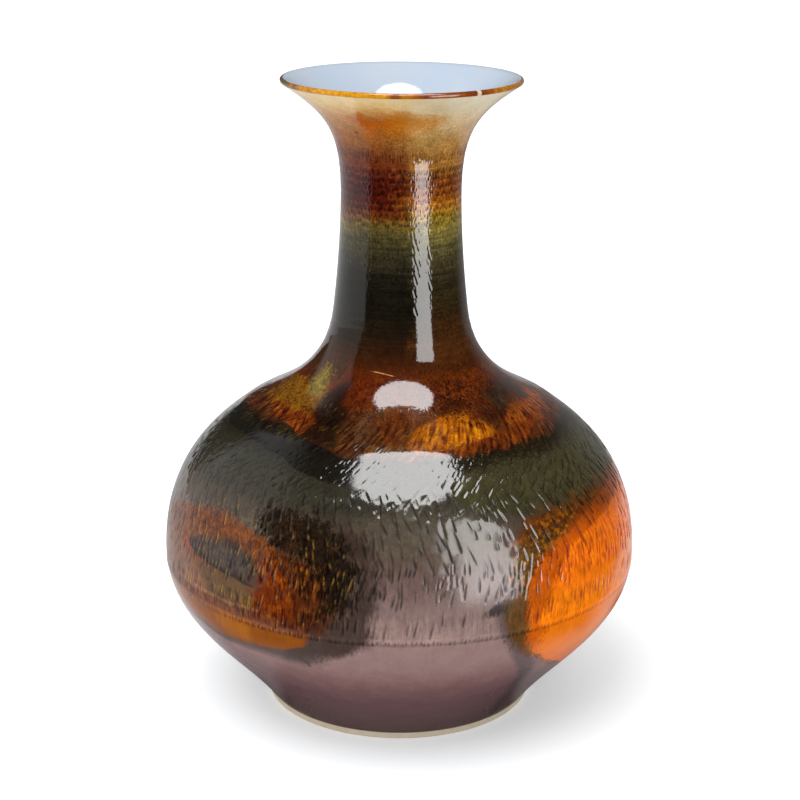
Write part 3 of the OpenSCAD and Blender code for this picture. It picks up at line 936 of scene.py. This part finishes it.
def floor():
    """A pale floor, painted dark to reflections in front of the vase and close round its foot:
    painted shade and a painted shadow.
    """
    bpy.ops.mesh.primitive_plane_add(size=FLOOR_SIZE, location=(0, 0, 0))
    plane = bpy.context.object
    plane.name = "floor"
    s = Surface("floor_white_painted_shade", 0.9)
    s.shader.inputs["Specular IOR Level"].default_value = 0.0
    path = s.tree.nodes.new("ShaderNodeLightPath")
    glossy = Wire(s.tree, path.outputs["Is Glossy Ray"])
    reach = s.degree / math.radians(1)
    # Reflections see the floor's painted shade, set by distance and by angle from the front: a
    # painted shadow close round the foot and painted shade in front
    side = s.angle.size().step(40, 75)
    away = (reach + side * 58).step(95, 125)
    near = reach.step(172, 112) * (s.angle.step(40, 75) * 0.24 - s.angle.step(-40, -75) * 0.06 + 0.4)
    far = reach.step(220, 320)
    left = s.angle.step(-46, -120)
    left = left + (s.angle.step(-59, -65) - left) * far
    level = reach.step(120, 230) * -0.44 + reach.step(700, 1100) * 0.08 + 1
    # At the right the bright part begins along a slanting line and dies out far off
    slant = (reach * 0.16 + 58).math("MINIMUM", 124.0)
    close = s.angle.step(98, 118) * reach.step(205, 150)
    right = (s.angle - slant).step(-12, 12) * (close * -0.9 + 1)
    right = right * (reach.step(1000, 350) * 0.45 + 0.2)
    right = right + (level - right) * s.angle.step(160, 180)
    bright = (left * level).math("MAXIMUM", right).math("MAXIMUM", near) * away
    # Painted shade and shadow: to reflections the floor's colour goes towards dark grey
    dim = glossy * (bright * -1 + 1)
    seen = Wire(s.tree, path.outputs["Is Camera Ray"])
    s.shader.inputs["Emission Color"].default_value = (1, 1, 1, 1)
    join(s.tree, seen * FLOOR_GLOW, s.shader.inputs["Emission Strength"])
    plane.data.materials.append(s.colour(s.mix(dim, paint(244, 245, 247), paint(36, 36, 36))))


def camera():
    """The camera at the photograph's place, which looks down at the vase."""
    data = bpy.data.cameras.new("camera")
    data.lens = CAMERA_LENS
    data.sensor_width = CAMERA_SENSOR
    obj = bpy.data.objects.new("camera", data)
    turn = Matrix.Rotation(math.radians(90 - CAMERA_DOWN), 4, "X")
    roll = Matrix.Rotation(math.radians(CAMERA_ROLL), 4, "Z")
    obj.matrix_world = Matrix.Translation((0, -CAMERA_BACK, CAMERA_HEIGHT)) @ turn @ roll
    bpy.context.scene.collection.objects.link(obj)
    bpy.context.scene.camera = obj


def sun():
    """A soft key lamp that throws the vase's shadow back to the right."""
    lamp = bpy.data.lights.new("key", "SUN")
    lamp.energy = SUN_POWER
    lamp.angle = math.radians(SUN_SPREAD)
    obj = bpy.data.objects.new("key", lamp)
    obj.rotation_euler = Vector(SUN_AIM).to_track_quat("-Z", "Y").to_euler()
    obj.visible_glossy = False
    bpy.context.scene.collection.objects.link(obj)


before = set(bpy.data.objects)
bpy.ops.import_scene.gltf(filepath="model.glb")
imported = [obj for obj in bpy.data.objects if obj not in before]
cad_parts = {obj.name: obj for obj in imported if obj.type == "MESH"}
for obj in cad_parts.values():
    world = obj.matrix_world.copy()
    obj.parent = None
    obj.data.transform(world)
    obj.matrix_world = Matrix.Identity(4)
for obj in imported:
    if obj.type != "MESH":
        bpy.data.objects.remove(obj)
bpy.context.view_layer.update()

clay_nodes = ["lower_body", "belly_seam", "upper_body", "neck_seam", "neck"]
clay_points = np.concatenate([half_plane(n) for n in clay_nodes])
glaze_points = half_plane("outer_glaze")
clay_face = by_height(glaze_points[shared(glaze_points, clay_points)])
# The glaze fills in beside the joints' beads: it runs straight over the neck's and shows a low
# soft ridge over the belly's
for seam in ("neck_seam", "belly_seam"):
    seam_low, seam_high = (corner[2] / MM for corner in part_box(seam))
    clay_face = clay_face[(clay_face[:, 1] < seam_low - 1) | (clay_face[:, 1] > seam_high + 1)]
seam_height = (seam_low + seam_high) / 2

glaze = glaze_material()
white = plain_material("inner_glaze_white", (184, 198, 216), (204, 208, 212), 24, 0.08)
lip_paint = lip_material()
bare = plain_material("bare_clay_matt", (226, 212, 188), (206, 188, 160), 3, 0.85)
china = plain_material("china_body_matt", (238, 231, 218), (228, 220, 204), 6, 0.8)
slip = plain_material("slip_matt", (207, 195, 180), (196, 182, 166), 5, 0.8)
base = plain_material("base_glaze_thin", (120, 88, 82), (92, 66, 60), 9, 0.2)

pieces = [(p, "outer_glaze", "outer_glaze", glaze) for p in outer_glaze(clay_face)]
pieces.append((inner_glaze(clay_points), "inner_glaze", "inner_glaze", white))
pieces.append((lip(clay_points), "lip_band", "lip_glaze", lip_paint))
for piece, node, slot, material in pieces:
    piece.data.materials.append(material)
    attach(piece, "root")
    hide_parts(node)

kept = {"foot_ring": bare, "lower_body": china, "belly_seam": slip, "upper_body": china,
        "neck_seam": slip, "neck": china, "outer_glaze": glaze, "lip_band": lip_paint,
        "inner_glaze": white, "base_glaze": base}
for node, material in kept.items():
    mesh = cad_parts[node].data
    mesh.materials.clear()
    mesh.materials.append(material)

bpy.context.scene.view_settings.view_transform = "Standard"
floor()
world_light()
sun()
light_panel("strip", *STRIP, "RECTANGLE")
light_panel("overhead", *OVERHEAD, "ELLIPSE")
camera()
